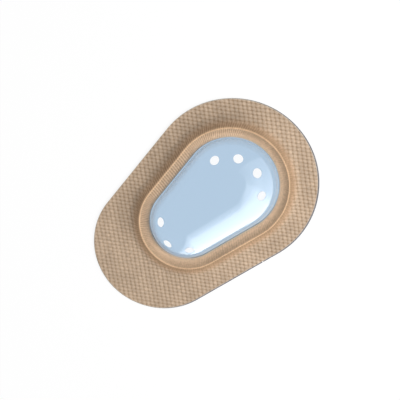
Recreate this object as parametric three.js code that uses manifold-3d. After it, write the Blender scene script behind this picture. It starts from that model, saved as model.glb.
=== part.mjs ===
// Adhesive eye patch: a die-cut woven plaster with a raised welt round its window, and a clear vented
// dome that the plaster holds over the eye. Millimetres, +Z away from the skin, +X towards the wide end.
// The origin is the middle of the underside, where the patch lies on the skin.
import * as THREE from 'three';
import { mergeVertices } from 'three/addons/utils/BufferGeometryUtils.js';
import Module from 'manifold-3d';

const wasm = await Module();
wasm.setup();

// The plaster's outline: two end circles joined by their tangents.
const plasterWideRadius = 31.5;
const plasterNarrowRadius = 25.5;
const plasterLength = 94;

// The window in the plaster: the same kind of outline. The margins are the plaster left at the two ends.
const windowWideRadius = 17.8;
const windowNarrowRadius = 14;
const wideMargin = 14.25;
const narrowMargin = 25.45;

// Layers, from the skin up.
const linerThickness = 0.2;
const shieldWall = 0.4;
const fabricThickness = 0.6;

// The welt: distances outwards from the window's edge, and heights above the flat fabric.
const crestDistance = 3.7;
const footDistance = 8.5;
const crestHeight = 2.8;
const windowEdgeHeight = 1.1;
const outerFullness = 1.3;
const innerSlopePower = 1.6;

// The fine pleats that the stretched fabric makes across the welt.
const gatherPitch = 2.1;
const gatherDepth = 0.22;

// The weave: two thread directions, which the stretch has pulled out of square.
const warpPitch = 1.65;
const weftPitch = 1.42;
const warpAngle = -49.2;
const weftAngle = 56.6;
const weaveRelief = 0.32;

// The dome, and its bead and flange under the plaster. The crown is flat inside its own small outline.
const domeRise = 11.5;
const crownNarrowRadius = 0.3;
const flangeWidth = 1.0;
const weltClearance = 0.25;
const edgeClearance = 0.3;

// Vents: four on the wide end and three on the narrow end, each row a little turned about its end. The
// inset is from the window's edge.
const ventDiameter = 3.6;
const wideVents = { count: 4, inset: 5.65, spacing: 42, turn: 11.5 };
const narrowVents = { count: 3, inset: 5, spacing: 58.5, turn: 184 };

// The adhesive starts just outside the flange.
const adhesiveClearance = 0.3;

// The liner: cut a little larger than the plaster and laid a little off centre.
const linerOverhang = 0.25;
const linerShift = 0.35;
const linerSlit = 0.3;
const linerLap = 1.6;

// How finely curves are cut into facets.
const arcStep = 7.5;
const domeSteps = 7;
const ventFacets = 16;

// Where the welt's section is cut into levels. Each share is of the way from the window's edge to the crest
// on the inner slope, and from the crest to the foot on the outer one. Beside it is the share of the
// pleats' depth that the fabric has there: they run out at the foot and nearly so on the tight crest.
const innerLevels = [[0, 1], [0.6, 0.9], [1, 0.3]];
const outerLevels = [[0.3, 1], [0.65, 0.8], [1, 0]];
const innerBeadLevels = [0.3, 0.62, 0.88, 1];
const outerBeadLevels = [0.15, 0.38, 0.6];

const degrees = Math.PI / 180;

// An outline's ribs run round it anticlockwise. A rib is a centre on the X axis, a radius and an outward
// direction, so the same rib also gives every outline offset from this one.
function outlineOf(wideX, wideRadius, narrowX, narrowRadius, shiftY = 0) {
  const tangent = Math.acos((narrowRadius - wideRadius) / (wideX - narrowX));
  return { wideX, wideRadius, narrowX, narrowRadius, tangent, shiftY };
}

function sideRib(outline, side, t) {
  const x = THREE.MathUtils.lerp(outline.wideX, outline.narrowX, t);
  const radius = THREE.MathUtils.lerp(outline.wideRadius, outline.narrowRadius, t);
  return { x, radius, angle: side * outline.tangent, shiftY: outline.shiftY };
}

function arcRib(outline, wide, angle) {
  const x = wide ? outline.wideX : outline.narrowX;
  const radius = wide ? outline.wideRadius : outline.narrowRadius;
  return { x, radius, angle, shiftY: outline.shiftY };
}

function ribsOf(outline) {
  const ribs = [];
  const wideSteps = Math.round(2 * outline.tangent / (arcStep * degrees));
  const narrowSweep = 2 * Math.PI - 2 * outline.tangent;
  const narrowSteps = Math.round(narrowSweep / (arcStep * degrees));
  for (let i = 0; i < wideSteps; i++) {
    ribs.push(arcRib(outline, true, -outline.tangent + 2 * outline.tangent * i / wideSteps));
  }
  ribs.push(sideRib(outline, 1, 0));
  for (let i = 0; i < narrowSteps; i++) {
    ribs.push(arcRib(outline, false, outline.tangent + narrowSweep * i / narrowSteps));
  }
  ribs.push(sideRib(outline, -1, 1));
  return ribs;
}

// Ribs an equal step apart along the line that lies the given distance outside the outline.
function evenRibs(outline, distance, pitch) {
  const wideArc = 2 * outline.tangent * (outline.wideRadius + distance);
  const narrowSweep = 2 * Math.PI - 2 * outline.tangent;
  const narrowArc = narrowSweep * (outline.narrowRadius + distance);
  const side = (outline.wideX - outline.narrowX) * Math.sin(outline.tangent);
  const total = wideArc + narrowArc + 2 * side;
  const count = 2 * Math.round(total / pitch);
  const ribs = [];
  for (let i = 0; i < count; i++) {
    let s = total * i / count;
    if (s < wideArc) {
      ribs.push(arcRib(outline, true, outline.tangent * (2 * s / wideArc - 1)));
      continue;
    }
    s -= wideArc;
    if (s < side) {
      ribs.push(sideRib(outline, 1, s / side));
      continue;
    }
    s -= side;
    if (s < narrowArc) {
      ribs.push(arcRib(outline, false, outline.tangent + narrowSweep * s / narrowArc));
      continue;
    }
    ribs.push(sideRib(outline, -1, 1 - (s - narrowArc) / side));
  }
  return ribs;
}

function ribPoint(rib, distance, z) {
  const reach = rib.radius + distance;
  const y = reach * Math.sin(rib.angle) + rib.shiftY;
  return [rib.x + reach * Math.cos(rib.angle), y, z];
}

// How far a point lies outside an outline: the distance to the rib that passes through it.
function distanceOutside(outline, x, y) {
  const lean = Math.cos(outline.tangent) / Math.sin(outline.tangent);
  const along = (outline.wideX - x + Math.abs(y) * lean) / (outline.wideX - outline.narrowX);
  const t = THREE.MathUtils.clamp(along, 0, 1);
  const centre = THREE.MathUtils.lerp(outline.wideX, outline.narrowX, t);
  const radius = THREE.MathUtils.lerp(outline.wideRadius, outline.narrowRadius, t);
  return Math.hypot(x - centre, y) - radius;
}

// Solids.
function solidFrom(positions, triangles) {
  return new wasm.Manifold(new wasm.Mesh({
    numProp: 3,
    vertProperties: new Float32Array(positions),
    triVerts: new Uint32Array(triangles),
  }));
}

function solidOfGeometry(source) {
  const bare = source.clone();
  bare.deleteAttribute('normal');
  bare.deleteAttribute('uv');
  const merged = mergeVertices(bare, 1e-4);
  return solidFrom(merged.attributes.position.array, merged.index.array);
}

function geometryOf(solid) {
  const mesh = solid.getMesh();
  const geometry = new THREE.BufferGeometry();
  geometry.setAttribute('position', new THREE.BufferAttribute(new Float32Array(mesh.vertProperties), 3));
  geometry.setIndex(new THREE.BufferAttribute(new Uint32Array(mesh.triVerts), 1));
  const flat = geometry.toNonIndexed();
  flat.computeVertexNormals();
  return flat;
}

// A loft round the outline. The section is a list of levels, each a distance and a height, where the
// height may depend on the rib. It runs outwards over the top and back underneath. A ring's section closes
// on itself, and a section that doesn't gets a flat cap over its first and last level.
function loftRound(ribs, section, closed) {
  const positions = [];
  for (const level of section) {
    ribs.forEach((rib, i) => {
      const z = typeof level.z === 'function' ? level.z(i) : level.z;
      positions.push(...ribPoint(rib, level.d, z));
    });
  }
  const count = ribs.length;
  const triangles = [];
  const bands = closed ? section.length : section.length - 1;
  for (let band = 0; band < bands; band++) {
    const low = band * count;
    const high = ((band + 1) % section.length) * count;
    for (let i = 0; i < count; i++) {
      const j = (i + 1) % count;
      triangles.push(low + i, high + i, low + j, low + j, high + i, high + j);
    }
  }
  if (!closed) {
    const first = ribs.map((rib, i) => new THREE.Vector2(positions[3 * i], positions[3 * i + 1]));
    for (const [a, b, c] of THREE.ShapeUtils.triangulateShape(first, [])) triangles.push(a, b, c);
    const start = (section.length - 1) * count;
    const last = ribs.map((rib, i) => {
      const k = 3 * (start + i);
      return new THREE.Vector2(positions[k], positions[k + 1]);
    });
    for (const [a, b, c] of THREE.ShapeUtils.triangulateShape(last, [])) {
      triangles.push(start + a, start + c, start + b);
    }
  }
  return solidFrom(positions, triangles);
}

// A flat-sided block with the outline, grown by a distance, from one height to another.
function blockOf(outline, distance, low, high) {
  return loftRound(ribsOf(outline), [{ d: distance, z: high }, { d: distance, z: low }], false);
}

// A flat ring between two distances from two outlines.
function flatRing(outer, outerDistance, inner, innerDistance, low, high) {
  const past = high - low;
  return blockOf(outer, outerDistance, low, high)
    .subtract(blockOf(inner, innerDistance, low - past, high + past));
}

function partMesh(name, solid, colour, roughness, extras = {}) {
  const material = new THREE.MeshStandardMaterial({ color: colour, roughness, metalness: 0, ...extras });
  const mesh = new THREE.Mesh(geometryOf(solid), material);
  mesh.name = name;
  return mesh;
}

// Places and heights that follow from the sizes above.
const plasterEnd = plasterLength / 2;
const plasterOutline = outlineOf(
  plasterEnd - plasterWideRadius, plasterWideRadius,
  plasterNarrowRadius - plasterEnd, plasterNarrowRadius,
);
const windowOutline = outlineOf(
  plasterEnd - wideMargin - windowWideRadius, windowWideRadius,
  narrowMargin + windowNarrowRadius - plasterEnd, windowNarrowRadius,
);
const linerOutline = { ...plasterOutline, shiftY: -linerShift };

const bondLevel = linerThickness + shieldWall;
const fabricLevel = bondLevel + fabricThickness;
const flangeEdge = footDistance + flangeWidth;
const domeShoulder = windowNarrowRadius - edgeClearance - crownNarrowRadius;

// A distance that is the given share of the way from the crest to the foot.
function onOuterSlope(share) {
  return THREE.MathUtils.lerp(crestDistance, footDistance, share);
}

// The height left, as a share of the crest's, at a share of the way down the outer slope. The slope leaves
// the crest gently, is steepest near its middle and runs out level at the foot.
function outerFall(share) {
  return (1 - share) ** 2 * (1 + outerFullness * share);
}

// The share of the way down the outer slope where the welt has sunk to a height above the flat fabric.
function outerShareAt(height) {
  let above = 0;
  let below = 1;
  for (let i = 0; i < 40; i++) {
    const middle = (above + below) / 2;
    if (crestHeight * outerFall(middle) > height) above = middle;
    else below = middle;
  }
  return above;
}

// The height of the welt's upper surface at a distance outside the window's edge.
function weltTop(distance) {
  if (distance >= footDistance) return fabricLevel;
  if (distance >= crestDistance) {
    const share = (distance - crestDistance) / (footDistance - crestDistance);
    return fabricLevel + crestHeight * outerFall(share);
  }
  const climbed = (Math.max(distance, 0) / crestDistance) ** innerSlopePower;
  return fabricLevel + windowEdgeHeight + (crestHeight - windowEdgeHeight) * climbed;
}

// The plaster: a lofted ring with pleats across its welt, with the weave laid on its flat part.
function plasterSolid() {
  const ribs = evenRibs(windowOutline, crestDistance, gatherPitch);
  const overlap = fabricThickness / 2;
  const pleated = (distance, depthShare) => ({
    d: distance,
    z: (i) => weltTop(distance) - (i % 2) * depthShare * gatherDepth,
  });
  const over = [
    ...innerLevels.map(([share, depthShare]) => pleated(share * crestDistance, depthShare)),
    ...outerLevels.map(([share, depthShare]) => pleated(onOuterSlope(share), depthShare)),
    { d: footDistance + overlap, z: fabricLevel - overlap / 2 },
    { d: plasterEnd, z: fabricLevel - overlap / 2 },
  ];
  const raised = [
    ...innerLevels.map(([share]) => share * crestDistance),
    ...outerLevels.slice(0, -1).map(([share]) => onOuterSlope(share)),
  ];
  const back = [
    { d: plasterEnd, z: bondLevel },
    { d: footDistance, z: bondLevel },
    ...raised.reverse().map((distance) => ({ d: distance, z: weltTop(distance) - fabricThickness })),
  ];
  const body = loftRound(ribs, [...over, ...back], true);
  const slab = weaveSlab(bondLevel + overlap);
  const woven = slab.subtract(blockOf(windowOutline, footDistance - fabricThickness, 0, 2 * crestHeight));
  return body.add(woven).intersect(blockOf(plasterOutline, 0, 0, 3 * crestHeight));
}

// The weave as a slab of threads: each crossing is a low pyramid, and its corners are the gaps between
// threads. The pyramids sink into the fabric where the welt starts.
function weaveSlab(floor) {
  const warp = new THREE.Vector2(warpPitch, 0).rotateAround(new THREE.Vector2(), warpAngle * degrees);
  const weft = new THREE.Vector2(weftPitch, 0).rotateAround(new THREE.Vector2(), weftAngle * degrees);
  const reach = plasterLength * 0.6;
  const cross = Math.abs(warp.x * weft.y - warp.y * weft.x);
  const across = Math.ceil(reach * weftPitch / cross);
  const along = Math.ceil(reach * warpPitch / cross);
  const columns = 2 * across + 1;
  const rows = 2 * along + 1;
  const positions = [];
  const surface = (i, j, lift) => {
    const x = i * warp.x + j * weft.x;
    const y = i * warp.y + j * weft.y;
    const distance = distanceOutside(windowOutline, x, y);
    const fade = THREE.MathUtils.smoothstep(distance, footDistance - fabricThickness, footDistance + warpPitch);
    const z = weltTop(distance) + fade * (lift - weaveRelief / 3);
    positions.push(x, y, z);
  };
  for (let j = -along; j <= along; j++) {
    for (let i = -across; i <= across; i++) surface(i, j, 0);
  }
  const centres = positions.length / 3;
  for (let j = -along; j < along; j++) {
    for (let i = -across; i < across; i++) surface(i + 0.5, j + 0.5, weaveRelief);
  }
  const corner = (i, j) => j * columns + i;
  const triangles = [];
  for (let j = 0; j < rows - 1; j++) {
    for (let i = 0; i < columns - 1; i++) {
      const middle = centres + j * (columns - 1) + i;
      const round = [corner(i, j), corner(i + 1, j), corner(i + 1, j + 1), corner(i, j + 1)];
      round.forEach((at, k) => triangles.push(at, round[(k + 1) % 4], middle));
    }
  }
  const rim = [];
  for (let i = 0; i < columns - 1; i++) rim.push(corner(i, 0));
  for (let j = 0; j < rows - 1; j++) rim.push(corner(columns - 1, j));
  for (let i = columns - 1; i > 0; i--) rim.push(corner(i, rows - 1));
  for (let j = rows - 1; j > 0; j--) rim.push(corner(0, j));
  const foot = positions.length / 3;
  for (const at of rim) positions.push(positions[3 * at], positions[3 * at + 1], floor);
  const hub = positions.length / 3;
  positions.push(0, 0, floor);
  rim.forEach((at, k) => {
    const next = (k + 1) % rim.length;
    triangles.push(at, foot + k, foot + next, at, foot + next, rim[next]);
    triangles.push(hub, foot + next, foot + k);
  });
  return solidFrom(positions, triangles);
}

// The shield: a shell with a steep shoulder and a flattened crown, then a bead that lifts the welt and a
// flat flange. Its section runs over the top, round the flange's edge and back underneath.
function shieldSection() {
  const drop = fabricThickness + weltClearance;
  const foot = weltTop(0) - drop;
  const beadTop = (distance) => Math.max(bondLevel, weltTop(distance) - drop);
  const dome = (inset, rise) => {
    const levels = [];
    for (let i = 0; i <= domeSteps; i++) {
      const turn = (i / domeSteps) * Math.PI / 2;
      const depth = -edgeClearance - domeShoulder + (domeShoulder - inset) * Math.sin(turn);
      levels.push({ d: depth, z: foot + rise * Math.cos(turn) });
    }
    return levels;
  };
  const bead = [
    ...innerBeadLevels.map((share) => share * crestDistance),
    ...outerBeadLevels.map(onOuterSlope),
  ];
  const flatStart = onOuterSlope(outerShareAt(weltClearance));
  const over = [...bead, flatStart, flangeEdge].map((distance) => ({ d: distance, z: beadTop(distance) }));
  const back = [flangeEdge, flatStart, ...bead.reverse()].map((distance) => ({
    d: distance,
    z: beadTop(distance) - shieldWall,
  }));
  const underFoot = { d: -edgeClearance, z: foot - shieldWall };
  const inside = dome(shieldWall, domeRise - shieldWall).reverse();
  return [...dome(0, domeRise), ...over, ...back, underFoot, ...inside];
}

function ventCutters() {
  const cutters = [];
  const foot = weltTop(0) - fabricThickness - weltClearance;
  const radius = ventDiameter / 2;
  const rows = [
    { row: wideVents, x: windowOutline.wideX, reach: windowWideRadius - wideVents.inset },
    { row: narrowVents, x: windowOutline.narrowX, reach: windowNarrowRadius - narrowVents.inset },
  ];
  for (const { row, x, reach } of rows) {
    const share = 1 - (row.inset - edgeClearance) / domeShoulder;
    const rise = domeRise * Math.sqrt(1 - share * share);
    const slope = Math.atan(domeRise * share / (domeShoulder * Math.sqrt(1 - share * share)));
    for (let k = 0; k < row.count; k++) {
      const angle = (row.turn + (k - (row.count - 1) / 2) * row.spacing) * degrees;
      const punch = new THREE.CylinderGeometry(radius, radius, ventDiameter, ventFacets);
      punch.rotateX(Math.PI / 2);
      punch.rotateY(slope);
      punch.rotateZ(angle);
      punch.translate(x + reach * Math.cos(angle), reach * Math.sin(angle), foot + rise);
      cutters.push(solidOfGeometry(punch));
    }
  }
  return cutters;
}

function shieldSolid() {
  const shell = loftRound(ribsOf(windowOutline), shieldSection(), false);
  return ventCutters().reduce((solid, cutter) => solid.subtract(cutter), shell);
}

// The adhesive: a flat coat under the plaster, outside the flange.
function adhesiveSolid() {
  const inner = flangeEdge + adhesiveClearance;
  return flatRing(plasterOutline, 0, windowOutline, inner, linerThickness, bondLevel);
}

// The liner: a flat ring, slit across the middle of the window into two halves.
function linerHalf(side) {
  const ring = flatRing(linerOutline, linerOverhang, windowOutline, flangeEdge - linerLap, 0, linerThickness);
  const middle = (windowOutline.wideX + windowOutline.narrowX) / 2;
  const block = new THREE.BoxGeometry(2 * plasterLength, 2 * plasterLength, 4 * linerThickness);
  block.translate(middle + side * (plasterLength + linerSlit / 2), 0, 0);
  return ring.intersect(solidOfGeometry(block));
}

const patch = new THREE.Group();
patch.add(partMesh('woven_plaster', plasterSolid(), 0xbfa68c, 0.9));
patch.add(partMesh('dome_shield', shieldSolid(), 0xb6cfe5, 0.12, { transparent: true, opacity: 0.55 }));
patch.add(partMesh('adhesive_layer', adhesiveSolid(), 0xe9e2d6, 0.5));
patch.add(partMesh('liner_wide_half', linerHalf(1), 0x77767c, 0.45));
patch.add(partMesh('liner_narrow_half', linerHalf(-1), 0x77767c, 0.45));

export default patch;
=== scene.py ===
# %% [markdown]
# # An adhesive eye patch
#
# The object is a teardrop plaster with a raised welt round a window, and a clear tinted shield that
# bulges up through the window. The CAD model gives the true sizes, the solids and the slots. This script
# gives the looks: woven threads, gathers on the welt, a thin tinted dome with punched vents, and the
# adhesive and liner that show at the rim.
#
# Every surface is a grid of points worked out with numpy as whole arrays, in millimetres, and turned
# into a mesh in metres by one helper.

import bpy
import numpy as np
from mathutils import Matrix, Vector


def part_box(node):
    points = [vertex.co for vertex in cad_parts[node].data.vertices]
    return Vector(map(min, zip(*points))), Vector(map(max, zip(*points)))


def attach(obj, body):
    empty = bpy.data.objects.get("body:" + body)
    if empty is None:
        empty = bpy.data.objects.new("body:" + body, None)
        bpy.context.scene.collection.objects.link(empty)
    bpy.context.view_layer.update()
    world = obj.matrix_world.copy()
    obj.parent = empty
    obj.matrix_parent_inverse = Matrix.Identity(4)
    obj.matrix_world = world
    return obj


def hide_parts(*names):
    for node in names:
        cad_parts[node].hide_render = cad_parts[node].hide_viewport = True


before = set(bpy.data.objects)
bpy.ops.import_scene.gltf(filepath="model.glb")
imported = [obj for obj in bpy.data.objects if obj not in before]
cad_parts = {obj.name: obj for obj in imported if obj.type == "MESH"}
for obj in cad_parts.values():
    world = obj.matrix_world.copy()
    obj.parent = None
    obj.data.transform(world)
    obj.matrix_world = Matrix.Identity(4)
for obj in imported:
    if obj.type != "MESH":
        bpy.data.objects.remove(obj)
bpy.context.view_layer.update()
MM = 0.001
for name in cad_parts:
    low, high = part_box(name)
    print(name, [round(value / MM, 2) for value in low], [round(value / MM, 2) for value in high])

# %% [markdown]
# ## The two outlines
#
# Both outlines are a wide circle and a narrow circle joined by their common tangents. Such an outline
# could be drawn as arcs and lines, or swept by one circle whose centre slides along the axis while its
# radius changes. The sweep is used here, because each outline point then knows its own centre, radius
# and outward direction, and the same numbers later give the welt, the dome and the vents.

# %% Sizes of the two outlines, in millimetres
PLASTER = {"wide_x": 15.5, "wide_radius": 31.5, "narrow_x": -21.5, "narrow_radius": 25.5}
WINDOW = {"wide_x": 14.95, "wide_radius": 17.8, "narrow_x": -7.55, "narrow_radius": 14.0}


def sweep(outline, spots, even_at):
    """Centre x, radius and direction of evenly spaced ribs round an outline.
    The ribs are even along the line that lies even_at outside the outline. Where they leave the wide arc
    the direction has cosine (narrow radius - wide radius) / (distance between the centres)."""
    reach = outline["wide_x"] - outline["narrow_x"]
    drop = outline["narrow_radius"] - outline["wide_radius"]
    lean = np.arccos(drop / reach)
    side = np.sqrt(reach**2 - drop**2)
    wide_arc = lean * (outline["wide_radius"] + even_at)
    narrow_arc = (np.pi - lean) * (outline["narrow_radius"] + even_at)
    marks = np.cumsum([0, wide_arc, side, 2 * narrow_arc, side, wide_arc])
    along = np.arange(spots) / spots * marks[-1]
    turn = np.interp(along, marks, [0, lean, lean, 2 * np.pi - lean, 2 * np.pi - lean, 2 * np.pi])
    slide = np.interp(along, marks, [0, 0, 1, 1, 0, 0])
    centre = outline["wide_x"] - reach * slide
    radius = outline["wide_radius"] + drop * slide
    return centre, radius, turn, along


def distance_outside(outline, x, y):
    """Distance of points outside an outline, negative inside.
    Beyond either end it is the distance from that circle; in between, from the tangent line."""
    reach = outline["wide_x"] - outline["narrow_x"]
    tilt = (outline["wide_radius"] - outline["narrow_radius"]) / reach
    level = np.sqrt(1 - tilt**2)
    along = outline["wide_x"] - x
    across = np.abs(y)
    station = level * along - tilt * across
    wide = np.hypot(across, along) - outline["wide_radius"]
    narrow = np.hypot(across, along - reach) - outline["narrow_radius"]
    between = level * across + tilt * along - outline["wide_radius"]
    return np.where(station < 0, wide, np.where(station > level * reach, narrow, between))


def rib_length(centre, radius, turn, outline, start, steps=60):
    """How far each rib runs from the window's edge to another outline.
    Each step moves the end back by its distance outside that outline, which settles on the crossing."""
    length = np.full_like(centre, start)
    for _ in range(steps):
        x = centre + (radius + length) * np.cos(turn)
        y = (radius + length) * np.sin(turn)
        length = length - distance_outside(outline, x, y)
    return length


# %% [markdown]
# ## From grids to meshes
#
# A piece is a grid of points: one index goes round the window, the other runs along a section. When the
# section closes on itself, the grid is a ring-shaped skin with no open edge. One helper numbers the
# faces and writes the mesh, so that no cell loops over vertices.


# %% Mesh helpers
def ring_faces(spots, levels, closed):
    """Corner numbers of the quads of a grid that goes round the window, counterclockwise from above
    when the section runs outwards."""
    here = np.arange(spots)[:, None]
    beyond = (here + 1) % spots
    level = np.arange(levels if closed else levels - 1)[None, :]
    above = (level + 1) % levels
    corners = [
        here * levels + level,
        here * levels + above,
        beyond * levels + above,
        beyond * levels + level,
    ]
    return np.stack(np.broadcast_arrays(*corners), axis=-1).reshape(-1, 4)


def make_piece(name, points, faces):
    """A smooth mesh object from points in millimetres and quads."""
    mesh = bpy.data.meshes.new(name)
    mesh.from_pydata((points.reshape(-1, 3) * MM), [], faces.tolist())
    mesh.polygons.foreach_set("use_smooth", np.ones(len(mesh.polygons), dtype=bool))
    mesh.update()
    piece = bpy.data.objects.new(name, mesh)
    bpy.context.scene.collection.objects.link(piece)
    print(name, "vertices", len(mesh.vertices), "faces", len(mesh.polygons))
    return piece


def set_uv(piece, u, v):
    """One UV pair per vertex, copied to every face corner at that vertex."""
    mesh = piece.data
    corner = np.empty(len(mesh.loops), dtype=np.int32)
    mesh.loops.foreach_get("vertex_index", corner)
    pairs = np.stack([u.ravel(), v.ravel()], axis=-1)[corner]
    layer = mesh.uv_layers.new(name="threads")
    layer.uv.foreach_set("vector", pairs.astype(np.float32).ravel())


def set_marks(piece, name, columns):
    """A colour attribute on the points, from up to four arrays of numbers."""
    values = np.ones((columns[0].size, 4), dtype=np.float32)
    for k, column in enumerate(columns):
        values[:, k] = column.ravel()
    layer = piece.data.attributes.new(name, "FLOAT_COLOR", "POINT")
    layer.data.foreach_set("color", values.ravel())


# %% [markdown]
# ## Materials
#
# Each material is a short node tree, and the same few steps come back in all of them: a ramp of colours,
# an arithmetic step, a noise that stands still on the object, and a mix of two shaders. They could be
# placed by hand in the node editor. As small helpers they read as one line each.


# %% Material helpers
def new_material(name):
    """A node material with its output and a Principled shader."""
    material = bpy.data.materials.new(name)
    material.use_nodes = True
    nodes = material.node_tree.nodes
    nodes.clear()
    output = nodes.new("ShaderNodeOutputMaterial")
    shader = nodes.new("ShaderNodeBsdfPrincipled")
    material.node_tree.links.new(shader.outputs["BSDF"], output.inputs["Surface"])
    return material, nodes, material.node_tree.links, shader


def ramp(nodes, stops):
    """A colour ramp from pairs of position and linear colour."""
    node = nodes.new("ShaderNodeValToRGB")
    elements = node.color_ramp.elements
    while len(elements) < len(stops):
        elements.new(0.5)
    for element, (position, colour) in zip(elements, stops):
        element.position = position
        element.color = (*colour, 1)
    return node


def math_node(nodes, links, operation, *values):
    """One arithmetic step; each input is a socket or a number."""
    node = nodes.new("ShaderNodeMath")
    node.operation = operation
    for socket, value in zip(node.inputs, values):
        if isinstance(value, (int, float)):
            socket.default_value = value
        else:
            links.new(value, socket)
    return node.outputs[0]


def scaled(nodes, links, colour, amount):
    """A colour times a number; both are sockets."""
    node = nodes.new("ShaderNodeVectorMath")
    node.operation = "SCALE"
    links.new(colour, node.inputs[0])
    links.new(amount, node.inputs["Scale"])
    return node.outputs[0]


def noise(nodes, links, scale, detail):
    """A noise that stands still on the object, from its Object coordinates."""
    coordinates = nodes.new("ShaderNodeTexCoord")
    texture = nodes.new("ShaderNodeTexNoise")
    texture.inputs["Scale"].default_value = scale
    texture.inputs["Detail"].default_value = detail
    links.new(coordinates.outputs["Object"], texture.inputs["Vector"])
    return texture.outputs["Fac"]


def read_marks(nodes, links, name):
    """The node of a colour attribute, and a node with its red, green and blue apart."""
    marks = nodes.new("ShaderNodeVertexColor")
    marks.layer_name = name
    split = nodes.new("ShaderNodeSeparateColor")
    links.new(marks.outputs["Color"], split.inputs["Color"])
    return marks, split


def mixed(nodes, links, share, first, second):
    """Two shaders mixed by a share, which is a socket."""
    node = nodes.new("ShaderNodeMixShader")
    for socket, value in zip(node.inputs, (share, first.outputs[0], second.outputs[0])):
        links.new(value, socket)
    return node


def show(nodes, links, shader):
    """Connect a shader to the material's output, in place of the one there."""
    output = next(node for node in nodes if node.type == "OUTPUT_MATERIAL")
    links.new(shader.outputs[0], output.inputs["Surface"])


def linear(*srgb):
    """Linear light from a display colour of 0 to 255: a power of 2.4 above a short straight start."""
    share = np.array(srgb) / 255
    return tuple(np.where(share < 0.04045, share / 12.92, ((share + 0.055) / 1.055) ** 2.4))


# %% [markdown]
# ## The woven plaster
#
# The plaster rises in a welt round the window, because the shield's bead lifts it from below. The welt
# could be sculpted, but it is a formed shape with one section all round, so a formula of the distance
# from the window gives it. The steep outer side runs out softly at its foot, as stretched cloth does.

# %% The welt's profile
FABRIC_LEVEL = 1.2
FABRIC_THICKNESS = 0.6
CREST_DISTANCE = 3.7
FOOT_DISTANCE = 8.5
CREST_HEIGHT = 2.8
EDGE_HEIGHT = 1.1
OUTER_FULLNESS = 1.3
INNER_POWER = 1.6


def welt_top(distance):
    """Height of the cloth's upper face at a distance outside the window.
    Outside the crest it is height * (1 - s)^2 * (1 + fullness * s), where s is the share of the way to the
    foot. Inside, it climbs from the window's edge by a power of the distance."""
    outer = np.clip((distance - CREST_DISTANCE) / (FOOT_DISTANCE - CREST_DISTANCE), 0, 1)
    inner = np.clip(distance / CREST_DISTANCE, 0, 1)
    climb = CREST_HEIGHT * (1 - outer) ** 2 * (1 + OUTER_FULLNESS * outer)
    fall = EDGE_HEIGHT + (CREST_HEIGHT - EDGE_HEIGHT) * inner**INNER_POWER
    return FABRIC_LEVEL + np.where(distance >= CREST_DISTANCE, climb, fall)


def smooth(value, start, end):
    """0 before start, 1 after end, with no corner at either."""
    share = np.clip((value - start) / (end - start), 0, 1)
    return share * share * (3 - 2 * share)


print("welt heights at edge, crest and foot", welt_top(np.array([0, CREST_DISTANCE, FOOT_DISTANCE])))

# %% [markdown]
# The fabric is an elastic plain weave. It could be a flat sheet with a bump map, but the threads are big
# enough to catch the side light, so they are real relief. Warp and weft rows swing over and under each
# other as cosines in opposite phase, each with a rounded section, and the upper one is the surface.

# %% The weave's height
WARP_PITCH = 1.65
WEFT_PITCH = 1.42
WARP_ANGLE = np.radians(-49.2)
WEFT_ANGLE = np.radians(56.6)
THREAD_RADIUS = 0.2
THREAD_SWING = 0.09
THREAD_HALF_WIDTH = 0.5


def lattice(x, y):
    """Position in thread rows: the pair (u, v) with x, y = u * warp step + v * weft step."""
    steps = np.array([
        [WARP_PITCH * np.cos(WARP_ANGLE), WEFT_PITCH * np.cos(WEFT_ANGLE)],
        [WARP_PITCH * np.sin(WARP_ANGLE), WEFT_PITCH * np.sin(WEFT_ANGLE)],
    ])
    inverse = np.linalg.inv(steps)
    return inverse[0, 0] * x + inverse[0, 1] * y, inverse[1, 0] * x + inverse[1, 1] * y


def weave(u, v):
    """Height of the upper thread, and 1 where that is a warp thread.
    A thread's middle swings as a cosine along it, and its section is the top of an ellipse."""
    warp_row = np.floor(v)
    weft_row = np.floor(u)
    warp_side = np.clip((v - warp_row - 0.5) / THREAD_HALF_WIDTH, -1, 1)
    weft_side = np.clip((u - weft_row - 0.5) / THREAD_HALF_WIDTH, -1, 1)
    warp_swing = THREAD_SWING * np.cos(np.pi * (u - 0.5)) * (-1) ** warp_row
    weft_swing = -THREAD_SWING * np.cos(np.pi * (v - 0.5)) * (-1) ** weft_row
    warp = warp_swing + THREAD_RADIUS * np.sqrt(1 - warp_side**2)
    weft = weft_swing + THREAD_RADIUS * np.sqrt(1 - weft_side**2)
    return np.maximum(warp, weft), (warp > weft).astype(float)


# %% [markdown]
# The cloth is laid out on ribs that run straight out from the window's edge to the plaster's rim. A
# square grid would be simpler, but its rows would cut the welt at a slant. On ribs, one column of points
# follows the crest all the way round, and the points can stand closer where the crest is sharp.

# %% Ribs and levels of the cloth
CLOTH_RIBS = 1000
EVEN_DISTANCE = 9.0
WELT_STEPS = 36
FLAT_STEPS = 50
UNDER_STEPS = 8
INNER_STEPS = 10
CREST_STEPS = 10
CREST_FROM = CREST_DISTANCE - 0.5
CREST_TO = CREST_DISTANCE + 0.6

centre, radius, turn, along = sweep(WINDOW, CLOTH_RIBS, EVEN_DISTANCE)
length = rib_length(centre, radius, turn, PLASTER, EVEN_DISTANCE)
level_marks = [0, INNER_STEPS, INNER_STEPS + CREST_STEPS, WELT_STEPS]
level_places = [0, CREST_FROM, CREST_TO, FOOT_DISTANCE]
welt_levels = np.interp(np.arange(WELT_STEPS + 1), level_marks, level_places)
share = np.linspace(0, 1, FLAT_STEPS + 1)[1:]
top_distance = np.concatenate([
    np.broadcast_to(welt_levels, (CLOTH_RIBS, WELT_STEPS + 1)),
    FOOT_DISTANCE + share[None, :] * (length[:, None] - FOOT_DISTANCE),
], axis=1)
under_share = np.linspace(1, 0, UNDER_STEPS + 1)
under_distance = length[:, None] * under_share[None, :]


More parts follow.
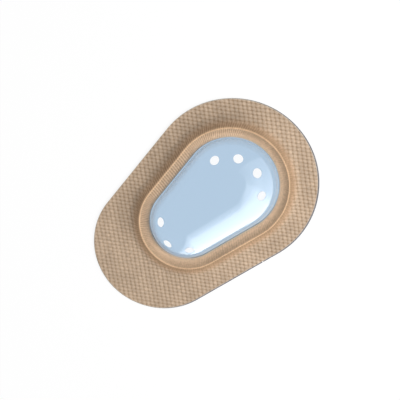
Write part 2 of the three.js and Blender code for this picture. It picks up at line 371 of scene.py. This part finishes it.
def place(distance, height):
    """Points on the ribs: centre + (radius + distance) in the rib's direction, at a height."""
    x = centre[:, None] + (radius[:, None] + distance) * np.cos(turn)[:, None]
    y = (radius[:, None] + distance) * np.sin(turn)[:, None]
    return np.stack([x, y, np.broadcast_to(height, x.shape)], axis=-1)


print("rib lengths", round(length.min(), 2), round(length.max(), 2))

# %% [markdown]
# Near the window the cloth is stretched over the welt. The weave fades there into fine slanted gathers,
# which are strong on the far side of the window and almost gone on the near side. The crest itself is a
# thin fold that stands a little proud. All of it is one height over the ribs, so nothing can overlap.

# %% The cloth's height: welt, weave, gathers and fold together
GATHERS = 204
GATHER_LEAN = 0.34
GATHER_DEPTH = 0.08
GATHER_RISE = (0.4, 1.6)
GATHERED_SIDE = (0.1, 0.8)
PLAIN_SIDE = 0.3
CREST_WIDTH = 0.24
CREST_FOLD = 0.12
WEAVE_RISE = (4.2, 7.2)

flat = place(top_distance, 0.0)
thread_u, thread_v = lattice(flat[..., 0], flat[..., 1])
thread_height, is_warp = weave(thread_u, thread_v)
weave_share = smooth(top_distance, *WEAVE_RISE)
round_length = along[-1] * CLOTH_RIBS / (CLOTH_RIBS - 1)
gather_pitch = along[-1] / GATHERS
gather_phase = GATHERS * along[:, None] / round_length + GATHER_LEAN * top_distance / gather_pitch
gather_wave = 0.5 + 0.5 * np.cos(2 * np.pi * gather_phase)
crest_share = np.exp(-(((top_distance - CREST_DISTANCE) / CREST_WIDTH) ** 2))
gather_side = PLAIN_SIDE + (1 - PLAIN_SIDE) * smooth(np.sin(turn)[:, None], *GATHERED_SIDE)
gather_share = smooth(top_distance, *GATHER_RISE) * (1 - weave_share) * (1 - crest_share) * gather_side
relief = weave_share * (thread_height - THREAD_RADIUS) + gather_share * GATHER_DEPTH * (gather_wave - 1)
relief = relief + CREST_FOLD * crest_share
top_height = welt_top(top_distance) + relief
under_height = welt_top(under_distance) - FABRIC_THICKNESS
print("relief", round(relief.min(), 3), round(relief.max(), 3))

# %% [markdown]
# A die-cut plaster has a thickness that shows at its rim and at the window. A Solidify modifier could
# add it, but the relief belongs to the upper face alone, so upper and under face are written as one
# closed section and the ring of faces joins them.

# %% The cloth as one closed skin
top_points = place(top_distance, top_height)
under_points = place(under_distance, under_height)
cloth_points = np.concatenate([top_points, under_points], axis=1)
cloth_levels = cloth_points.shape[1]
cloth = make_piece("woven_plaster_cloth", cloth_points, ring_faces(CLOTH_RIBS, cloth_levels, True))
under_flat = place(under_distance, 0.0)
under_u, under_v = lattice(under_flat[..., 0], under_flat[..., 1])
cloth_u = np.concatenate([thread_u, under_u], axis=1)
cloth_v = np.concatenate([thread_v, under_v], axis=1)
set_uv(cloth, cloth_u, cloth_v)

# %% [markdown]
# The material has to know where a thread lies high, which row it belongs to, how far it is from the
# window, how much painted shade falls past the crest on the far side, and where the cut edges are. An
# image could carry that, but the same arrays that made the relief are at hand, so they are stored on the
# points as colour attributes.

# %% What the cloth's points tell the material
BAND_REACH = 10.0
GATHER_TINT = 0.55
GATHER_SHADE_CONTRAST = 0.45
MARK_LIFT = 0.02
WARP_SHUFFLE = 12.9
WEFT_SHUFFLE = 7.7
WEFT_START = 1.3
WINDOW_EDGE = 0.55
RIM_EDGE = 0.25
FAR_SHADE = 0.24
FAR_SIDE = (0.1, 0.9)
SHADE_RISE = (3.9, 4.7)
SHADE_FADE = (6.0, 16.0)

pad = np.zeros((CLOTH_RIBS, UNDER_STEPS + 1))
# Painted shade and light: the gathers' valleys are coloured darker and their ridges paler.
gather_light_and_shade = GATHER_TINT + GATHER_SHADE_CONTRAST * gather_side * (1 - crest_share) * (gather_wave - 0.5)
thread_mark = np.clip((thread_height + MARK_LIFT) / (THREAD_RADIUS + THREAD_SWING), 0, 1)
height_mark = weave_share * thread_mark + (1 - weave_share) * gather_light_and_shade
warp_tint = np.sin(WARP_SHUFFLE * np.floor(thread_v))
weft_tint = np.sin(WEFT_SHUFFLE * np.floor(thread_u) + WEFT_START)
row_tint = 0.5 + 0.5 * np.where(is_warp > 0, warp_tint, weft_tint) * weave_share
# Painted shade: the cloth is darkened past the crest on the far side of the window.
far_side = smooth(np.sin(turn)[:, None], *FAR_SIDE)
far_band = smooth(top_distance, *SHADE_RISE) * (1 - smooth(top_distance, *SHADE_FADE))
shade = 1 - FAR_SHADE * far_side * far_band
window_edge = 1 - smooth(top_distance, 0, WINDOW_EDGE)
rim_edge = smooth(top_distance, length[:, None] - RIM_EDGE, length[:, None])
edge_mark = np.maximum(window_edge, rim_edge)
set_marks(cloth, "cloth", [
    np.concatenate([height_mark, pad], axis=1),
    np.concatenate([row_tint, pad + 0.5], axis=1),
    np.concatenate([shade, pad + 1], axis=1),
    np.concatenate([edge_mark, pad], axis=1),
])
set_marks(cloth, "bands", [np.concatenate([top_distance / BAND_REACH, pad + 1], axis=1)])
print("height mark", round(height_mark.min(), 2), round(height_mark.max(), 2))

# %% [markdown]
# The threads are skin-coloured. Their gaps look dark and their tops pale, and a single colour would leave
# that to the shadows alone, which are soft here. A ramp over the thread's height paints shade into the
# gaps and light onto the tops, and small changes from row to row, in patches and from fibre to fibre keep
# the cloth from looking printed.

# %% The colour of the threads
GAP_SHADE_COLOUR = linear(126, 97, 74)
MIDDLE_THREAD = linear(183, 155, 128)
LIT_TOP_COLOUR = linear(220, 196, 171)
MIDDLE_PLACE = 0.55
FIBRE_SCALE = 1400
FIBRE_DETAIL = 3
CLOUD_SCALE = 130
CLOUD_DETAIL = 2
GRAIN = (0.5, 0.55)
PATCHES = (0.3, 0.05)
ROWS = (0.12, 0.74)
CLOTH_GAIN = 1.28

fabric, nodes, links, shader = new_material("woven_fabric")
marks, split = read_marks(nodes, links, "cloth")
# The ramp's dark end is painted shade in the thread gaps, and its pale end painted light on the tops.
threads_ramp = ramp(nodes, [(0.0, GAP_SHADE_COLOUR), (MIDDLE_PLACE, MIDDLE_THREAD), (1.0, LIT_TOP_COLOUR)])
links.new(split.outputs["Red"], threads_ramp.inputs["Fac"])
fibres = noise(nodes, links, FIBRE_SCALE, FIBRE_DETAIL)
clouds = noise(nodes, links, CLOUD_SCALE, CLOUD_DETAIL)
grain = math_node(nodes, links, "MULTIPLY_ADD", fibres, *GRAIN)
patchy = math_node(nodes, links, "MULTIPLY_ADD", clouds, *PATCHES)
row = math_node(nodes, links, "MULTIPLY_ADD", split.outputs["Green"], *ROWS)
brightness = math_node(nodes, links, "ADD", row, patchy)
brightness = math_node(nodes, links, "MULTIPLY", brightness, grain)
brightness = math_node(nodes, links, "MULTIPLY", brightness, CLOTH_GAIN)
tinted = scaled(nodes, links, threads_ramp.outputs["Color"], brightness)
print("thread colours", GAP_SHADE_COLOUR, LIT_TOP_COLOUR)

# %% [markdown]
# Round the window the cloth is pressed and stretched. There it is painted paler on the inner side, with
# a thin painted highlight on the crest, and painted darker past the crest on the far side: painted light
# and shade. More lamps could draw these bands. A ramp over the distance from the window is simpler, and
# it stays with the cloth from every side.

# %% Painted light and shade on the welt
BAND_GAIN = 2.4
# Brightness by distance from the window: painted light on the inner side and a painted highlight on the
# crest.
PAINTED_WELT_LIGHT = [
    (0.0, (1.6, 1.6, 1.6)),
    (1.2, (1.9, 1.9, 1.88)),
    (2.1, (1.6, 1.57, 1.53)),
    (3.2, (1.4, 1.36, 1.3)),
    (3.7, (2.2, 2.15, 2.0)),
    (4.2, (1.08, 1.02, 0.96)),
    (5.2, (1.18, 1.1, 1.02)),
    (7.2, (1.03, 1.03, 1.03)),
]
_, bands_split = read_marks(nodes, links, "bands")
bands = ramp(nodes, [(spot / BAND_REACH, tuple(np.array(colour) / BAND_GAIN)) for spot, colour in PAINTED_WELT_LIGHT])
links.new(bands_split.outputs["Red"], bands.inputs["Fac"])
banded = nodes.new("ShaderNodeVectorMath")
banded.operation = "MULTIPLY"
links.new(tinted, banded.inputs[0])
links.new(bands.outputs["Color"], banded.inputs[1])
shade_gain = math_node(nodes, links, "MULTIPLY", split.outputs["Blue"], BAND_GAIN)
shaded = scaled(nodes, links, banded.outputs[0], shade_gain)
print("bands", len(PAINTED_WELT_LIGHT))

# %% [markdown]
# The cut edges, at the rim and round the window, are painted a pale colour. The surface is dull cotton
# and elastic, so it is rough, with hardly any shine and a fine bump.

# %% The cloth's edge, surface and place in the model
EDGE_COLOUR = linear(226, 216, 202)
CLOTH_ROUGHNESS = 0.95
CLOTH_SHINE = 0.1
BUMP_STRENGTH = 0.35
BUMP_DISTANCE = 0.1 * MM

edge_mix = nodes.new("ShaderNodeMix")
edge_mix.data_type = "RGBA"
colour_from, colour_to = edge_mix.inputs[6], edge_mix.inputs[7]
colour_to.default_value = (*EDGE_COLOUR, 1)
links.new(marks.outputs["Alpha"], edge_mix.inputs[0])
links.new(shaded, colour_from)
links.new(edge_mix.outputs[2], shader.inputs["Base Color"])
bump = nodes.new("ShaderNodeBump")
bump.inputs["Strength"].default_value = BUMP_STRENGTH
bump.inputs["Distance"].default_value = BUMP_DISTANCE
links.new(fibres, bump.inputs["Height"])
links.new(bump.outputs["Normal"], shader.inputs["Normal"])
shader.inputs["Roughness"].default_value = CLOTH_ROUGHNESS
shader.inputs["Specular IOR Level"].default_value = CLOTH_SHINE
cloth.data.materials.append(fabric)
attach(cloth, "root")
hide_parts("woven_plaster")
print("cloth materials", len(cloth.data.materials))

# %% [markdown]
# The plaster is a flat sheet that lies on the adhesive and on the shield's flange.


# %% [markdown]
# ## The clear shield
#
# The shield is vacuum formed from a thin tinted sheet: a flange, a bead that lifts the welt, and a dome
# with a steep shoulder and a flat crown. Its upper face could be lofted by hand. Here a quarter of an
# ellipse gives the dome and the welt's own profile, set down by a clearance, gives the bead.

# %% The shield's section
SHIELD_WALL = 0.4
BOND_LEVEL = 0.6
WELT_CLEARANCE = 0.25
EDGE_CLEARANCE = 0.3
CROWN_RADIUS = 0.3
DOME_RISE = 11.5
FLANGE_WIDTH = 1.0
SHIELD_RIBS = 360
DOME_STEPS = 44
BEAD_STEPS = 26
shoulder = WINDOW["narrow_radius"] - EDGE_CLEARANCE - CROWN_RADIUS
shield_foot = welt_top(np.array(0.0)) - FABRIC_THICKNESS - WELT_CLEARANCE
sweep_angle = np.linspace(0, np.pi / 2, DOME_STEPS + 1)
dome_distance = -EDGE_CLEARANCE - shoulder * (1 - np.sin(sweep_angle))
dome_height = shield_foot + DOME_RISE * np.cos(sweep_angle)
bead_distance = np.linspace(0, FOOT_DISTANCE + FLANGE_WIDTH, BEAD_STEPS + 1)
bead_height = np.maximum(BOND_LEVEL, welt_top(bead_distance) - FABRIC_THICKNESS - WELT_CLEARANCE)
section_distance = np.concatenate([dome_distance, bead_distance])
section_height = np.concatenate([dome_height, bead_height])
print("shoulder width", round(shoulder, 2), "shield foot", float(shield_foot))

# %% [markdown]
# Only the upper face is drawn, on the same ribs as the cloth, with one face for the flat crown. A
# Solidify modifier gives the sheet its even thickness below it, as the real sheet has.

# %% The shield's upper face
centre_s, radius_s, turn_s, _ = sweep(WINDOW, SHIELD_RIBS, 0.0)
shield_x = centre_s[:, None] + (radius_s[:, None] + section_distance) * np.cos(turn_s)[:, None]
shield_y = (radius_s[:, None] + section_distance) * np.sin(turn_s)[:, None]
shield_points = np.stack([shield_x, shield_y, np.broadcast_to(section_height, shield_x.shape)], axis=-1)
levels = len(section_distance)
quads = ring_faces(SHIELD_RIBS, levels, False).tolist()
crown = (np.arange(SHIELD_RIBS) * levels).tolist()
shield_mesh = bpy.data.meshes.new("tinted_shield")
shield_mesh.from_pydata(shield_points.reshape(-1, 3) * MM, [], quads + [crown])
shield = bpy.data.objects.new("tinted_shield", shield_mesh)
bpy.context.scene.collection.objects.link(shield)
shield_mesh.polygons.foreach_set("use_smooth", np.ones(len(shield_mesh.polygons), dtype=bool))
thickness = shield.modifiers.new("sheet", "SOLIDIFY")
thickness.thickness = SHIELD_WALL * MM
thickness.offset = -1
thickness.use_even_offset = True
print("shield sheet faces", len(shield_mesh.polygons))

# %% [markdown]
# The vents stand in two rows, round the wide end and round the narrow end, square to the slope. They
# could be seven cutters with seven modifiers. One cutter object holds all the punches instead, and it is
# removed once the shield's mesh has been worked out.

# %% The punches
VENT_RADIUS = 1.8
VENT_FACETS = 48
PUNCH_REACH = 3
WIDE_VENTS = {
    "count": 4, "inset": 5.65, "turn": 11.5, "spacing": 42,
    "x": WINDOW["wide_x"], "radius": WINDOW["wide_radius"],
}
NARROW_VENTS = {
    "count": 3, "inset": 5, "turn": 184, "spacing": 58.5,
    "x": WINDOW["narrow_x"], "radius": WINDOW["narrow_radius"],
}
ring = np.linspace(0, 2 * np.pi, VENT_FACETS, endpoint=False)
up = np.array([0, 0, 1])
punch_points = []
punch_faces = []
for vents in (WIDE_VENTS, NARROW_VENTS):
    vent_share = 1 - (vents["inset"] - EDGE_CLEARANCE) / shoulder
    vent_height = shield_foot + DOME_RISE * np.sqrt(1 - vent_share**2)
    vent_slope = np.arctan(DOME_RISE * vent_share / (shoulder * np.sqrt(1 - vent_share**2)))
    for k in range(vents["count"]):
        facing = np.radians(vents["turn"] + (k - (vents["count"] - 1) / 2) * vents["spacing"])
        outward = np.array([np.cos(facing), np.sin(facing), 0])
        sideways = np.array([-np.sin(facing), np.cos(facing), 0])
        axis = np.sin(vent_slope) * outward + np.cos(vent_slope) * up
        downhill = np.cos(vent_slope) * outward - np.sin(vent_slope) * up
        middle = np.array([vents["x"], 0, vent_height]) + (vents["radius"] - vents["inset"]) * outward
        circle = VENT_RADIUS * (np.cos(ring)[:, None] * downhill + np.sin(ring)[:, None] * sideways)
        start = sum(len(points) for points in punch_points)
        ends = [middle + circle - PUNCH_REACH * axis, middle + circle + PUNCH_REACH * axis]
        punch_points.append(np.concatenate(ends))
        low = start + np.arange(VENT_FACETS)
        walls = np.stack([low, np.roll(low, -1), np.roll(low, -1) + VENT_FACETS, low + VENT_FACETS], axis=-1)
        punch_faces.extend(walls.tolist() + [low[::-1].tolist(), (low + VENT_FACETS).tolist()])
print("punches", len(punch_points))

# %% [markdown]
# The modifiers are worked out once and the result kept as a plain mesh, so that the rim of each vent can
# be marked sharp while the dome stays smooth.

# %% Punch the vents
SHARP_ANGLE = np.radians(40)
punch_mesh = bpy.data.meshes.new("punches")
punch_mesh.from_pydata(np.concatenate(punch_points) * MM, [], punch_faces)
punches = bpy.data.objects.new("punches", punch_mesh)
bpy.context.scene.collection.objects.link(punches)
cut = shield.modifiers.new("vents", "BOOLEAN")
cut.object = punches
cut.operation = "DIFFERENCE"
bpy.context.view_layer.update()
graph = bpy.context.evaluated_depsgraph_get()
finished = bpy.data.meshes.new_from_object(shield.evaluated_get(graph))
shield.modifiers.clear()
shield.data = finished
bpy.data.objects.remove(punches)
finished.set_sharp_from_angle(angle=SHARP_ANGLE)
print("shield faces", len(finished.polygons))

# %% [markdown]
# The sheet is clear, pale blue plastic. A Principled shader with full transmission would bend the light
# in so thin a wall and leave it noisy, so each face is a film: tinted and clear, with a mirror share by
# Fresnel. A look straight through crosses two faces, which is why each has the square root of the tint.
#
# Seen at a slant, a real sheet shows more of its own colour and of the light that has travelled along
# it. A share of diffuse colour stands for the first. A faint glow stands for the second: it is painted
# light that brightens the slanted rim. On back faces the index is turned over, because there the light
# leaves the plastic instead of entering it.

# %% The shield's material
PLASTIC_INDEX = 1.58
FILM_COLOUR = linear(184, 208, 230)
BODY_COLOUR = linear(214, 236, 250)
GLOW_COLOUR = linear(206, 230, 255)
GLOW = 0.35
SLANT_BLEND = 0.5
SLANT_POWER = 3.0

tinted_plastic, nodes, links, shader = new_material("tinted_plastic")
nodes.remove(shader)
through = nodes.new("ShaderNodeBsdfTransparent")
through.inputs["Color"].default_value = (*np.sqrt(FILM_COLOUR), 1)
own_colour = nodes.new("ShaderNodeBsdfDiffuse")
own_colour.inputs["Color"].default_value = (*BODY_COLOUR, 1)
# The glow is painted light on the sheet.
glow = nodes.new("ShaderNodeEmission")
glow.inputs["Color"].default_value = (*GLOW_COLOUR, 1)
glow.inputs["Strength"].default_value = GLOW
lit_body = nodes.new("ShaderNodeAddShader")
links.new(own_colour.outputs[0], lit_body.inputs[0])
links.new(glow.outputs[0], lit_body.inputs[1])
slant = nodes.new("ShaderNodeLayerWeight")
slant.inputs["Blend"].default_value = SLANT_BLEND
body_share = math_node(nodes, links, "POWER", slant.outputs["Facing"], SLANT_POWER)
body = mixed(nodes, links, body_share, through, lit_body)
gloss = nodes.new("ShaderNodeBsdfGlossy")
gloss.inputs["Roughness"].default_value = 0.0
mirror_share = nodes.new("ShaderNodeFresnel")
side = nodes.new("ShaderNodeNewGeometry").outputs["Backfacing"]
index_change = 1 / PLASTIC_INDEX - PLASTIC_INDEX
film_index = math_node(nodes, links, "MULTIPLY_ADD", side, index_change, PLASTIC_INDEX)
links.new(film_index, mirror_share.inputs["IOR"])
show(nodes, links, mixed(nodes, links, mirror_share.outputs["Fac"], body, gloss))
finished.materials.clear()
finished.materials.append(tinted_plastic)
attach(shield, "root")
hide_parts("dome_shield")
print("film tint", np.round(np.sqrt(FILM_COLOUR), 3))

# %% [markdown]
# ## Adhesive and release liner
#
# Under the cloth lies a coat of adhesive, outside the shield's flange. It shows as a thin pale line at
# the rim, so it is a plain ring with square edges on the cloth's own ribs.

# %% The adhesive film
LINER_THICKNESS = 0.2
ADHESIVE_CLEARANCE = 0.3
ADHESIVE_ROUGHNESS = 0.5
flange_edge = FOOT_DISTANCE + FLANGE_WIDTH
adhesive_start = np.full(CLOTH_RIBS, flange_edge + ADHESIVE_CLEARANCE)
adhesive_section = np.stack([adhesive_start, length, length, adhesive_start], axis=1)
adhesive_height = np.array([BOND_LEVEL, BOND_LEVEL, LINER_THICKNESS, LINER_THICKNESS])
adhesive_points = place(adhesive_section, adhesive_height)
adhesive_faces = ring_faces(CLOTH_RIBS, len(adhesive_height), True)
adhesive = make_piece("adhesive_film", adhesive_points, adhesive_faces)
adhesive.data.polygons.foreach_set("use_smooth", np.zeros(len(adhesive.data.polygons), dtype=bool))
glue, nodes, links, shader = new_material("adhesive")
shader.inputs["Base Color"].default_value = (*EDGE_COLOUR, 1)
shader.inputs["Roughness"].default_value = ADHESIVE_ROUGHNESS
adhesive.data.materials.append(glue)
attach(adhesive, "root")
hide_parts("adhesive_layer")

# %% [markdown]
# The release liner is a film slit across so that one half can be peeled off first. Its dark grey is
# painted shade: it stands for the shadow line along the rim, and the liner is shifted across so that it
# stands out further past the cloth on one side. Each half could be cut from a whole film with a Boolean.
# It is written directly instead: the outer line and the line round the window, each kept on one side of
# the slit, make one closed border.

# %% One line of the liner's border
LINER_OVERHANG = 0.25
LINER_SHIFT = -0.35
LINER_SLIT = 0.3
LINER_LAP = 1.6
OUTER_SPOTS = 1200
HOLE_SPOTS = 900
slit_x = (WINDOW["wide_x"] + WINDOW["narrow_x"]) / 2
window_inset = flange_edge - LINER_LAP


def kept_line(outline, outset, shift, spots, side):
    """The points of an outline, set out and shifted across, that lie on one side of the slit.
    They start at the slit and go round in order."""
    mid, size, facing, _ = sweep(outline, spots, 0.0)
    x = mid + (size + outset) * np.cos(facing)
    y = (size + outset) * np.sin(facing) + shift
    keep = side * (x - slit_x) > LINER_SLIT / 2
    start = -np.argmin(keep) if side > 0 else 0
    return np.stack([np.roll(x, start), np.roll(y, start)], axis=-1)[np.roll(keep, start)]


print("slit at x", slit_x, "liner reaches", window_inset, "outside the window")

# %% [markdown]
# Each border is then drawn twice, on the table and one film thickness above it, with a wall between.

# %% The two liner halves
# The liner's dark grey is painted shade: it stands for the shadow line along the rim.
LINER_SHADOW_GREY = linear(120, 118, 124)
LINER_ROUGHNESS = 0.4
liner_film, nodes, links, shader = new_material("liner_film")
shader.inputs["Base Color"].default_value = (*LINER_SHADOW_GREY, 1)
shader.inputs["Roughness"].default_value = LINER_ROUGHNESS
for name, side in (("liner_wide_half", 1), ("liner_narrow_half", -1)):
    outer = kept_line(PLASTER, LINER_OVERHANG, LINER_SHIFT, OUTER_SPOTS, side)
    hole = kept_line(WINDOW, window_inset, 0.0, HOLE_SPOTS, side)
    border = np.concatenate([outer, hole[::-1]])
    count = len(border)
    low = np.column_stack([border, np.zeros(count)])
    high = np.column_stack([border, np.full(count, LINER_THICKNESS)])
    number = np.arange(count)
    beyond = np.roll(number, -1)
    walls = np.stack([number, beyond, beyond + count, number + count], axis=-1).tolist()
    caps = [number[::-1].tolist(), (number + count).tolist()]
    mesh = bpy.data.meshes.new(name + "_film")
    mesh.from_pydata(np.concatenate([low, high]) * MM, [], walls + caps)
    film = bpy.data.objects.new(name + "_film", mesh)
    bpy.context.scene.collection.objects.link(film)
    mesh.materials.append(liner_film)
    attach(film, "root")
    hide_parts(name)
    print(name, "border points", count)

# %% [markdown]
# ## Light, floor and camera
#
# The patch lies on a white table. A broad lamp stands at the lower right of the picture, and the sky
# fills the shadows. The highlight on the shield's shoulder is the mirror image of something bright. That
# could be a lamp with a frame round it, but a panel painted into the sky, which only the first mirror
# ray sees, can fade towards its ends and lights nothing else.

# %% The sky and the direction that a ray looks in
FILL = 0.5
PANEL = 8.0
world = bpy.data.worlds.new("studio")
bpy.context.scene.world = world
world.use_nodes = True
nodes = world.node_tree.nodes
links = world.node_tree.links
nodes.clear()
sky_out = nodes.new("ShaderNodeOutputWorld")
background = nodes.new("ShaderNodeBackground")
paths = nodes.new("ShaderNodeLightPath")
toward = nodes.new("ShaderNodeTexCoord")
part = nodes.new("ShaderNodeSeparateXYZ")
links.new(toward.outputs["Generated"], part.inputs[0])
azimuth = math_node(nodes, links, "ARCTAN2", part.outputs["Y"], part.outputs["X"])
elevation = math_node(nodes, links, "ARCSINE", part.outputs["Z"])
print("sky strength", FILL, "panel strength", PANEL)

# %% [markdown]
# The panel is the product of two soft steps, one across and one upwards, in degrees. It leans, because
# the real highlight reaches further round at its lower end.

# %% The panel for reflections
ACROSS_SPAN = (-165, 10)
ACROSS = [
    (-146, 0.0), (-142, 0.3), (-132, 0.5), (-127, 0.8), (-111, 1.0),
    (-79, 0.9), (-60, 0.42), (-24, 0.2), (0, 0.14), (4, 0.0),
]
UPWARD_SPAN = (-30, 80)
UPWARD = [(-24, 0.0), (-18, 1.0), (42, 1.0), (64, 0.44), (73, 0.34), (76, 0.0)]
PANEL_SKEW = -0.24
FIRST_BOUNCE = 0.5


def profile(value, span, stops):
    """A brightness between 0 and 1 along an angle in degrees, from pairs of angle and brightness."""
    start, end = span
    share = nodes.new("ShaderNodeMapRange")
    share.inputs["From Min"].default_value = np.radians(start)
    share.inputs["From Max"].default_value = np.radians(end)
    links.new(value, share.inputs["Value"])
    places = [((angle - start) / (end - start), (level, level, level)) for angle, level in stops]
    curve = ramp(nodes, places)
    links.new(share.outputs["Result"], curve.inputs["Fac"])
    return curve.outputs["Color"]


skewed = math_node(nodes, links, "MULTIPLY_ADD", elevation, PANEL_SKEW, azimuth)
across = profile(skewed, ACROSS_SPAN, ACROSS)
upward = profile(elevation, UPWARD_SPAN, UPWARD)
direct = math_node(nodes, links, "LESS_THAN", paths.outputs["Diffuse Depth"], FIRST_BOUNCE)
mirrored = math_node(nodes, links, "MULTIPLY", paths.outputs["Is Glossy Ray"], direct)
panel = math_node(nodes, links, "MULTIPLY", across, upward)
panel = math_node(nodes, links, "MULTIPLY", panel, PANEL)
panel = math_node(nodes, links, "MULTIPLY", panel, mirrored)
straight = (paths.outputs["Is Camera Ray"], paths.outputs["Is Transmission Ray"])
seen = math_node(nodes, links, "MAXIMUM", *straight)
seen = math_node(nodes, links, "MAXIMUM", seen, mirrored)
strength = math_node(nodes, links, "MULTIPLY_ADD", seen, 1 - FILL, FILL)
strength = math_node(nodes, links, "ADD", strength, panel)
links.new(strength, background.inputs["Strength"])
links.new(background.outputs[0], sky_out.inputs["Surface"])
print("panel stops", len(ACROSS), len(UPWARD))

# %% [markdown]
# The main light is a broad disk, which gives the soft shade on the far side of the welt. It is hidden
# from the camera and from mirror rays, so that only the panel shows in the dome.

# %% The key lamp
KEY_DIRECTION = np.array([0.5, -0.55, 0.9])
KEY_SIZE = 0.22
KEY_ENERGY = 0.9
KEY_DISTANCE = 0.42
lamp_data = bpy.data.lights.new("key", "AREA")
lamp_data.shape = "DISK"
lamp_data.size = KEY_SIZE
lamp_data.energy = KEY_ENERGY
lamp = bpy.data.objects.new("key", lamp_data)
bpy.context.scene.collection.objects.link(lamp)
lamp_place = Vector(KEY_DIRECTION / np.linalg.norm(KEY_DIRECTION)) * KEY_DISTANCE
lamp.matrix_world = Matrix.Translation(lamp_place) @ lamp_place.to_track_quat("Z", "Y").to_matrix().to_4x4()
lamp.visible_camera = False
lamp.visible_glossy = False
lamp.visible_transmission = False
print("key lamp at", [round(value, 3) for value in lamp_place])

# %% [markdown]
# The table is pure white in the picture. A white diffuse floor alone would turn grey away from the lamp.
# Seen by the camera it therefore glows by itself and has only a little diffuse colour, enough to take
# the patch's shadow. For light that bounces it is an ordinary pale floor.

# %% The white floor
FLOOR_HALF = 1.5
FLOOR_DROP = 0.02 * MM
PAPER_COLOUR = 0.14
PAPER_GLOW = 0.9
PAPER_BOUNCE = 0.8
floor_corners = [(-FLOOR_HALF, -FLOOR_HALF, 0), (FLOOR_HALF, -FLOOR_HALF, 0)]
floor_corners += [(FLOOR_HALF, FLOOR_HALF, 0), (-FLOOR_HALF, FLOOR_HALF, 0)]
floor_mesh = bpy.data.meshes.new("floor")
floor_mesh.from_pydata(floor_corners, [], [(0, 1, 2, 3)])
floor = bpy.data.objects.new("floor", floor_mesh)
bpy.context.scene.collection.objects.link(floor)
floor.location.z = -FLOOR_DROP
paper, nodes, links, shader = new_material("paper")
shader.inputs["Base Color"].default_value = (PAPER_COLOUR, PAPER_COLOUR, PAPER_COLOUR, 1)
shader.inputs["Roughness"].default_value = 1
shader.inputs["Specular IOR Level"].default_value = 0
shader.inputs["Emission Color"].default_value = (1, 1, 1, 1)
shader.inputs["Emission Strength"].default_value = PAPER_GLOW
plain = nodes.new("ShaderNodeBsdfDiffuse")
plain.inputs["Color"].default_value = (PAPER_BOUNCE, PAPER_BOUNCE, PAPER_BOUNCE, 1)
white = nodes.new("ShaderNodeEmission")
rays = nodes.new("ShaderNodeLightPath")
bent = math_node(nodes, links, "MAXIMUM", rays.outputs["Is Transmission Ray"], rays.outputs["Is Glossy Ray"])
direct_or_bounced = mixed(nodes, links, rays.outputs["Is Camera Ray"], plain, shader)
show(nodes, links, mixed(nodes, links, bent, direct_or_bounced, white))
floor_mesh.materials.append(paper)
floor.visible_glossy = False
print("floor half width", FLOOR_HALF)

# %% [markdown]
# The camera looks down on the patch from a little towards its wide end and its far side, and is turned
# so that the patch lies aslant. Tilt, turn, distance and shift were solved from the outline, the window
# and the vents together.

# %% The camera
VIEW_TILT_X = np.radians(14.9)
VIEW_TILT_Y = np.radians(6.74)
VIEW_ROLL = np.radians(42.0)
CAMERA_DISTANCE = 0.4
LENS = 95.85
SENSOR = 36
SHIFT_X = -0.0053
SHIFT_Y = 0.0207
NEAREST = 0.01
camera_data = bpy.data.cameras.new("camera")
camera_data.lens = LENS
camera_data.sensor_width = SENSOR
camera_data.shift_x = SHIFT_X
camera_data.shift_y = SHIFT_Y
camera_data.clip_start = NEAREST
camera = bpy.data.objects.new("camera", camera_data)
bpy.context.scene.collection.objects.link(camera)
towards = Vector((np.tan(VIEW_TILT_X), np.tan(VIEW_TILT_Y), 1)).normalized()
upright = Vector((np.sin(VIEW_ROLL), np.cos(VIEW_ROLL), 0))
upright = (upright - towards * upright.dot(towards)).normalized()
rightward = upright.cross(towards)
turned = Matrix((rightward, upright, towards)).transposed().to_4x4()
camera.matrix_world = Matrix.Translation(towards * CAMERA_DISTANCE) @ turned
bpy.context.scene.camera = camera
bpy.context.scene.view_settings.view_transform = "Standard"
print("camera at", [round(value, 3) for value in towards * CAMERA_DISTANCE])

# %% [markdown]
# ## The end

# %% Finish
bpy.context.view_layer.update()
